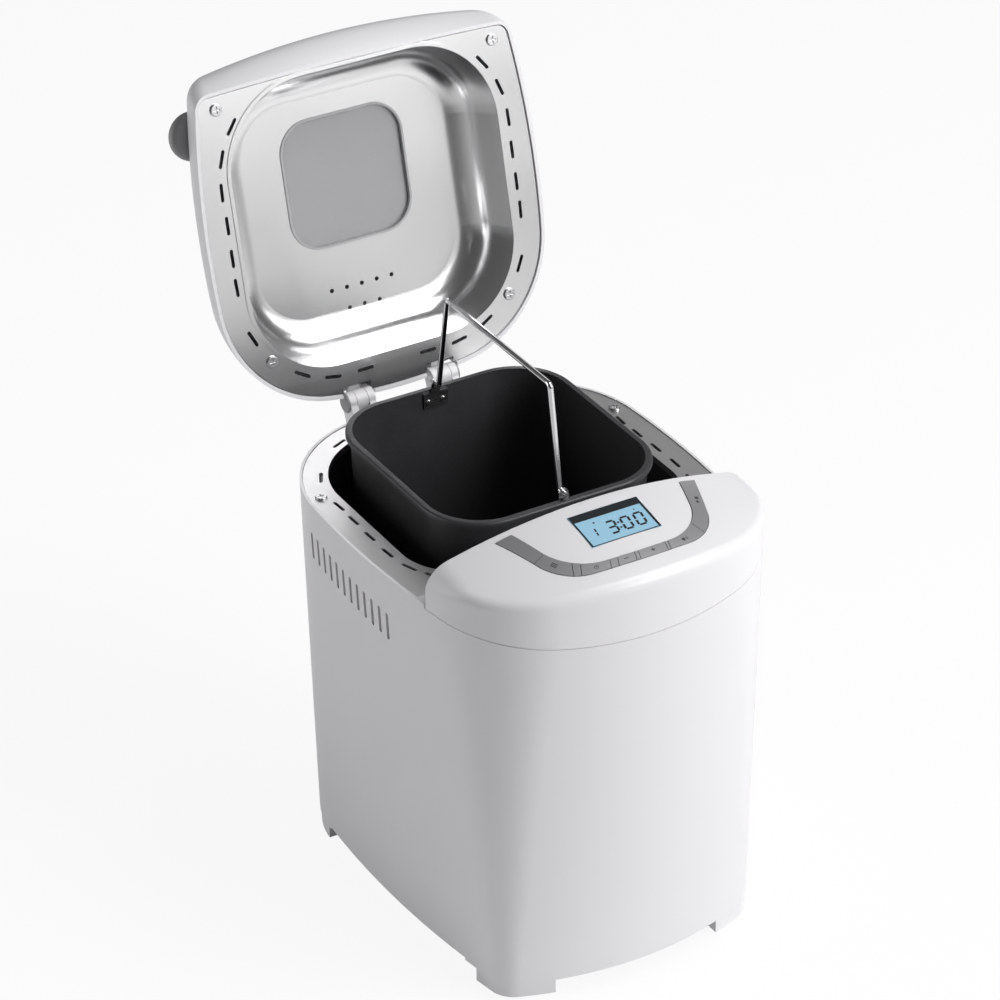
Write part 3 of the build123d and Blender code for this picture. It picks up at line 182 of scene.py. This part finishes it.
oven_metal = new_material("oven_sheet", (0.17, 0.17, 0.175), metallic=0.7, roughness=0.5)
lines = noise(oven_metal, 90.0, 4.0, (1.0, 1.0, 8.0))
spread(oven_metal, lines, 0.42, 0.6, "Roughness")
bump(oven_metal, lines, 0.00004, 0.3)

zinc = new_material("zinc_sheet", (0.5, 0.5, 0.51), metallic=0.9, roughness=0.42)
spread(zinc, noise(zinc, 40.0, 3.0), 0.34, 0.5, "Roughness")
turned = new_material("turned_steel", (0.56, 0.56, 0.57), metallic=1.0, roughness=0.28)
rings = noise(turned, 120.0, 3.0, (1.0, 1.0, 14.0))
spread(turned, rings, 0.22, 0.36, "Roughness")
chrome = new_material("bail_chrome", (0.72, 0.72, 0.73), metallic=1.0, roughness=0.12)
spread(chrome, noise(chrome, 90.0, 2.0), 0.09, 0.17, "Roughness")
brass = new_material("sintered_bronze", (0.5, 0.36, 0.14), metallic=0.9, roughness=0.5)
spread(brass, noise(brass, 600.0, 2.0), 0.42, 0.6, "Roughness")
print("metals ready")

# %% [markdown]
# ## Pan coating
#
# Non-stick coating is a charcoal film with fine pale specks and a soft sheen.

# %% Coatings
nonstick = new_material("nonstick_film", (0.035, 0.035, 0.038), metallic=0.3, roughness=0.42)
speck = noise(nonstick, 1500.0, 2.0)
tint(nonstick, speck, (0.02, 0.02, 0.022), (0.075, 0.075, 0.08))
spread(nonstick, noise(nonstick, 60.0, 3.0), 0.36, 0.5, "Roughness")
bump(nonstick, speck, 0.00003, 0.3)
cast = new_material("cast_alloy", (0.36, 0.36, 0.37), metallic=0.8, roughness=0.5)
grain = noise(cast, 700.0, 3.0)
spread(cast, grain, 0.42, 0.6, "Roughness")
bump(cast, grain, 0.00006, 0.4)
print("coatings ready")

# %% [markdown]
# ## Small finishes
#
# Keys are silver-lacquered plastic, grips are plain grey, and rubber is dark and dull.

# %% Small finishes
silver = new_material("silver_lacquer", (0.40, 0.40, 0.415), metallic=0.55, roughness=0.34)
flake = noise(silver, 2600.0, 1.0)
spread(silver, flake, 0.28, 0.42, "Roughness")
bump(silver, flake, 0.00002, 0.2)
grey = new_material("grey_moulding", (0.32, 0.32, 0.325), roughness=0.42)
grain = noise(grey, 900.0, 3.0)
spread(grey, grain, 0.36, 0.5, "Roughness")
bump(grey, grain, 0.00004, 0.3)
rubber = new_material("foot_rubber", (0.03, 0.03, 0.032), roughness=0.75)
grain = noise(rubber, 1200.0, 3.0)
spread(rubber, grain, 0.65, 0.85, "Roughness")
bump(rubber, grain, 0.00005, 0.4)
silicone = new_material("window_silicone", (0.42, 0.42, 0.43), roughness=0.45)
spread(silicone, noise(silicone, 500.0, 2.0), 0.42, 0.6, "Roughness")
dark = new_material("black_moulding", (0.02, 0.02, 0.022), roughness=0.5)
spread(dark, noise(dark, 900.0, 2.0), 0.42, 0.58, "Roughness")
board = new_material("board_lacquer", (0.02, 0.09, 0.035), roughness=0.4)
spread(board, noise(board, 300.0, 2.0), 0.32, 0.5, "Roughness")
pane = new_material("tinted_pane", (0.72, 0.72, 0.73), roughness=0.05, Transmission_Weight=0.75, IOR=1.5)
spread(pane, noise(pane, 30.0, 2.0), 0.03, 0.09, "Roughness")
lcd = new_material("display_blue", (0.35, 0.61, 0.78), roughness=0.25)
spread(lcd, noise(lcd, 200.0, 2.0), 0.2, 0.3, "Roughness")
print("small finishes ready")

# %% [markdown]
# ## Dressing the solids
#
# Nodes whose shape is right keep it and only take a finish.

# %% Finishes on the solids
FINISHES = {
    white: ("body_shell", "control_housing", "lid_shell", "hinge_brackets"),
    white_under: ("base_plate", "cord_gland", "run_capacitor"),
    rubber: ("rubber_feet", "drive_belt"),
    silver: ("strip_trim", "key_1", "key_2", "key_3", "key_4", "key_5", "start_key"),
    dark: ("tact_switches", "display_module", "large_pulley"),
    board: ("control_board", "power_board"),
    lcd: ("lcd_window",),
    deck_metal: ("deck_plate",),
    oven_metal: ("oven_chamber", "heating_element"),
    liner_metal: ("lid_liner",),
    turned: (
        "deck_screws", "ledge_screws", "lid_screws", "element_clips", "temp_sensor", "pan_clips",
        "pan_bushing", "pan_shaft", "bail_clips", "hinge_pins", "drive_shaft", "shaft_circlip",
        "motor_shaft", "motor_pulley",
    ),
    nonstick: ("pan_shell", "kneading_paddle"),
    cast: ("pan_foot", "drive_coupler"),
    chrome: ("bail_handle",),
    silicone: ("window_gasket",),
    pane: ("window_glass", "window_lens"),
    grey: ("lid_grips", "hinge_caps"),
    zinc: ("support_frame", "motor_body"),
    brass: ("main_bearing",),
}
for material, names in FINISHES.items():
    for name in names:
        for place in nodes[name].material_slots:
            place.material = material
print("dressed", sum(len(names) for names in FINISHES.values()), "solids")

# %% [markdown]
# ## Pieces of the display
#
# The display glass is a tilted block. Its top face gives the plane on which the black mask and
# the digits lie, so the pieces are placed in millimetres on that face and turned with it.

# %% Helpers for small flat pieces
MM = 0.001
DISPLAY_TILT = math.radians(10.2)
GLASS_THICK = 3.4 * MM
low, high = (Vector(corner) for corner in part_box("lcd_window"))
face_normal = Vector((0, -math.sin(DISPLAY_TILT), math.cos(DISPLAY_TILT)))
face_centre = (low + high) / 2 + face_normal * GLASS_THICK / 2
display_place = Matrix.Translation(face_centre) @ Matrix.Rotation(DISPLAY_TILT, 4, "X")


def settle(name, parts, place, material, bevel=0.0):
    """Joins parts drawn flat in millimetres, moves them onto a plane and gives them a finish."""
    bpy.ops.object.select_all(action="DESELECT")
    for part in parts:
        part.select_set(True)
    bpy.context.view_layer.objects.active = parts[0]
    if len(parts) > 1:
        bpy.ops.object.join()
    piece = bpy.context.view_layer.objects.active
    piece.name = name
    bpy.ops.object.transform_apply(location=True, rotation=True, scale=True)
    if bevel:
        edge = piece.modifiers.new("edge", "BEVEL")
        edge.width = bevel
        edge.segments = 2
        bpy.ops.object.modifier_apply(modifier="edge")
    piece.matrix_world = place @ Matrix.Scale(MM, 4)
    bpy.ops.object.transform_apply(location=True, rotation=True, scale=True)
    piece.data.materials.clear()
    piece.data.materials.append(material)
    return piece


def bar(x, y, width, depth, height=0.2, turn=0.0):
    """Low block on the drawing plane, its underside at zero."""
    bpy.ops.object.select_all(action="DESELECT")
    bpy.ops.mesh.primitive_cube_add(size=1, location=(x, y, height / 2), rotation=(0, 0, turn))
    bpy.context.object.scale = (width, depth, height)
    return bpy.context.object


def disc(x, y, radius, height=0.2, sides=24, turn=0.0):
    """Low round or many-sided block, its underside at zero."""
    bpy.ops.object.select_all(action="DESELECT")
    bpy.ops.mesh.primitive_cylinder_add(
        vertices=sides, radius=radius, depth=height, location=(x, y, height / 2), rotation=(0, 0, turn))
    return bpy.context.object


print("display face at", [round(v, 4) for v in display_place.translation])

# %% Display mask and digits
ink = new_material("display_ink", (0.012, 0.016, 0.02), roughness=0.35)
spread(ink, noise(ink, 800.0, 2.0), 0.3, 0.45, "Roughness")
half_w, half_d = 25.2, 15.2
HEAD = 6.4
mask_bars = [
    bar(0, half_d - HEAD / 2, 2 * half_w, HEAD),
    bar(0, -half_d + 0.35, 2 * half_w, 0.7),
    bar(-half_w + 0.55, -HEAD / 2, 1.1, 2 * half_d - 6.5),
    bar(half_w - 0.75, -HEAD / 2, 1.5, 2 * half_d - 6.5),
]
mask = settle("display_mask", mask_bars, display_place, ink, 0.06)
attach(mask, "body")

SEGMENTS = {"0": "abcdef", "1": "bc", "3": "abgcd"}
SLANT = 0.12
INK_HIGH = 0.12


def digit(figure, x, y, width, height, stroke):
    """Bars of one seven-segment figure, leaning slightly to the right."""
    half = height / 2
    spots = {
        "a": (0, half, True), "g": (0, 0, True), "d": (0, -half, True),
        "b": (width / 2, half / 2, False), "c": (width / 2, -half / 2, False),
        "f": (-width / 2, half / 2, False), "e": (-width / 2, -half / 2, False),
    }
    bars = []
    for label in SEGMENTS[figure]:
        dx, dy, flat = spots[label]
        where = (x + dx + SLANT * dy, y + dy)
        if flat:
            bars.append(bar(*where, width - stroke * 0.6, stroke, INK_HIGH))
        else:
            bars.append(bar(*where, stroke, half - stroke * 0.9, INK_HIGH, -math.atan(SLANT)))
    return bars


ROW_Y = -3.6
figures = digit("1", -17.0, -3.8, 3.0, 7.4, 1.1)
for figure, x in (("3", -3.6), ("0", 6.8), ("0", 16.4)):
    figures += digit(figure, x, ROW_Y, 5.6, 10.8, 1.5)
figures += [disc(1.6 + SLANT * dy, ROW_Y + dy, 0.75, INK_HIGH) for dy in (-2.4, 2.4)]
figures += [disc(-12.6, 4.6, 0.7, INK_HIGH), disc(17.4, 5.4, 0.7, INK_HIGH, 3)]
digits = settle("display_digits", figures, display_place, ink)
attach(digits, "body")
print("mask and digits", len(mask_bars), len(figures))

# %% [markdown]
# ## Key marks
#
# The keys carry plain signs and no words: bars, a clock, a minus, a plus, a disc with two
# bars, and start with stop. Each sign is drawn flat and laid on its key, a little sunk, where
# a ray from above meets it. Its place is in millimetres in plan, its turn in radians.

# %% Key marks
mark_ink = new_material("key_ink", (0.05, 0.05, 0.052), roughness=0.5)
spread(mark_ink, noise(mark_ink, 900.0, 2.0), 0.42, 0.58, "Roughness")


def on_key(name, x, y, turn):
    """Plane lying on a key at a plan point in millimetres."""
    hit, where, normal, _ = nodes[name].ray_cast(Vector((x * MM, y * MM, 1.0)), Vector((0, 0, -1)))
    lean = Vector((0, 0, 1)).rotation_difference(normal).to_matrix().to_4x4()
    return Matrix.Translation(where) @ lean @ Matrix.Rotation(turn, 4, "Z")


def clock():
    bpy.ops.object.select_all(action="DESELECT")
    bpy.ops.mesh.primitive_torus_add(
        major_radius=1.35, minor_radius=0.22, major_segments=32, minor_segments=6)
    return [bpy.context.object, bar(0, 0.45, 0.3, 1.1), bar(0.4, 0, 0.9, 0.3)]


def menu():
    return [bar(0, step, 4.2, 0.55) for step in (-1.2, 0, 1.2)]


def minus():
    return [bar(0, 0, 2.8, 0.6)]


def plus():
    return [bar(0, 0, 2.8, 0.6), bar(0, 0, 0.6, 2.8)]


def crust():
    return [disc(-0.9, 0, 1.3), bar(1.9, 0.6, 1.8, 0.5), bar(1.9, -0.6, 1.8, 0.5)]


def start_stop():
    return [disc(-2.0, 0, 1.6, 0.2, 3, -math.pi / 2), bar(2.0, 0, 2.4, 2.4)]


SIGN_SUNK = Matrix.Translation((0, 0, -0.12 * MM))
SIGNS = {
    "key_1": (-53.6, -158.0, -1.05, menu),
    "key_2": (-31.5, -172.0, -0.12, clock),
    "key_3": (-11.0, -173.6, -0.04, minus),
    "key_4": (8.6, -173.7, 0.03, plus),
    "key_5": (33.0, -171.8, 0.14, crust),
    "start_key": (62.0, -141.0, 1.2, start_stop),
}
for name, (x, y, turn, draw) in SIGNS.items():
    sign = settle(name + "_sign", draw(), on_key(name, x, y, turn) @ SIGN_SUNK, mark_ink)
    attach(sign, name + "_body")
print("signs", len(SIGNS))

# %% [markdown]
# ## Floor and light
#
# A pale floor that the camera sees as white and reflections see dimmer, but which keeps the
# shadow. Three large soft lamps stand at the front right, at the left rear and above, and two
# dim cards stand where the polished liner and the deck mirror them.

# %% Floor
bpy.ops.object.select_all(action="DESELECT")
bpy.ops.mesh.primitive_plane_add(size=12, location=(0, 0, 0))
floor = bpy.context.object
floor.name = "floor"
floor_paint = bpy.data.materials.new("floor_paint")
floor_paint.use_nodes = True
tree = floor_paint.node_tree
shader = tree.nodes["Principled BSDF"]
shader.inputs["Base Color"].default_value = (0.86, 0.86, 0.86, 1)
shader.inputs["Roughness"].default_value = 0.9
glow = tree.nodes.new("ShaderNodeEmission")
glow.inputs["Strength"].default_value = 1.01
ray = tree.nodes.new("ShaderNodeLightPath")
mirrored = tree.nodes.new("ShaderNodeMath")
mirrored.operation = "MULTIPLY"
mirrored.inputs[1].default_value = 0.32
tree.links.new(ray.outputs["Is Glossy Ray"], mirrored.inputs[0])
level = tree.nodes.new("ShaderNodeMath")
level.operation = "MULTIPLY_ADD"
level.inputs[1].default_value = 0.9
tree.links.new(ray.outputs["Is Camera Ray"], level.inputs[0])
tree.links.new(mirrored.outputs[0], level.inputs[2])
blend = tree.nodes.new("ShaderNodeMixShader")
tree.links.new(level.outputs[0], blend.inputs[0])
tree.links.new(shader.outputs[0], blend.inputs[1])
tree.links.new(glow.outputs[0], blend.inputs[2])
tree.links.new(blend.outputs[0], tree.nodes["Material Output"].inputs["Surface"])
floor.data.materials.append(floor_paint)
print("floor ready")

# %% World and lamps
world = bpy.data.worlds.new("studio")
world.use_nodes = True
bpy.context.scene.world = world
tree = world.node_tree
soft = tree.nodes["Background"]
soft.inputs["Color"].default_value = (0.93, 0.94, 0.96, 1)
soft.inputs["Strength"].default_value = 0.08
white_back = tree.nodes.new("ShaderNodeBackground")
white_back.inputs["Strength"].default_value = 1.0
ray = tree.nodes.new("ShaderNodeLightPath")
seen = tree.nodes.new("ShaderNodeMath")
seen.operation = "MAXIMUM"
tree.links.new(ray.outputs["Is Camera Ray"], seen.inputs[0])
tree.links.new(ray.outputs["Is Transmission Ray"], seen.inputs[1])
dim = tree.nodes.new("ShaderNodeBackground")
dim.inputs["Strength"].default_value = 0.12
shine = tree.nodes.new("ShaderNodeMixShader")
tree.links.new(ray.outputs["Is Glossy Ray"], shine.inputs[0])
tree.links.new(soft.outputs[0], shine.inputs[1])
tree.links.new(dim.outputs[0], shine.inputs[2])
blend = tree.nodes.new("ShaderNodeMixShader")
tree.links.new(seen.outputs[0], blend.inputs[0])
tree.links.new(shine.outputs[0], blend.inputs[1])
tree.links.new(white_back.outputs[0], blend.inputs[2])
tree.links.new(blend.outputs[0], tree.nodes["World Output"].inputs["Surface"])


def lamp(name, place, aim, size, power):
    """Large square lamp looking at a point."""
    data = bpy.data.lights.new(name, "AREA")
    data.size = size
    data.energy = power
    light = bpy.data.objects.new(name, data)
    look = (Vector(aim) - Vector(place)).to_track_quat("-Z", "Y")
    light.matrix_world = Matrix.Translation(place) @ look.to_matrix().to_4x4()
    bpy.context.scene.collection.objects.link(light)
    return light


lamp("key", (1.3, -1.9, 1.4), (0, 0, 0.25), 1.3, 40.0)
lamp("side", (-2.0, 1.0, 0.72), (0, 0, 0.2), 1.4, 15.0)
lamp("top", (1.0, -0.6, 2.15), (0, 0, 0.3), 1.2, 27.0)
lamp("liner card", (0.75, -1.9, 0.5), (0, 0.17, 0.4), 0.9, 1.05)
lamp("deck card", (1.45, 1.55, 1.0), (0, 0, 0.3), 0.9, 2.0)
bpy.context.scene.view_settings.view_transform = "Standard"
print("lamps ready")
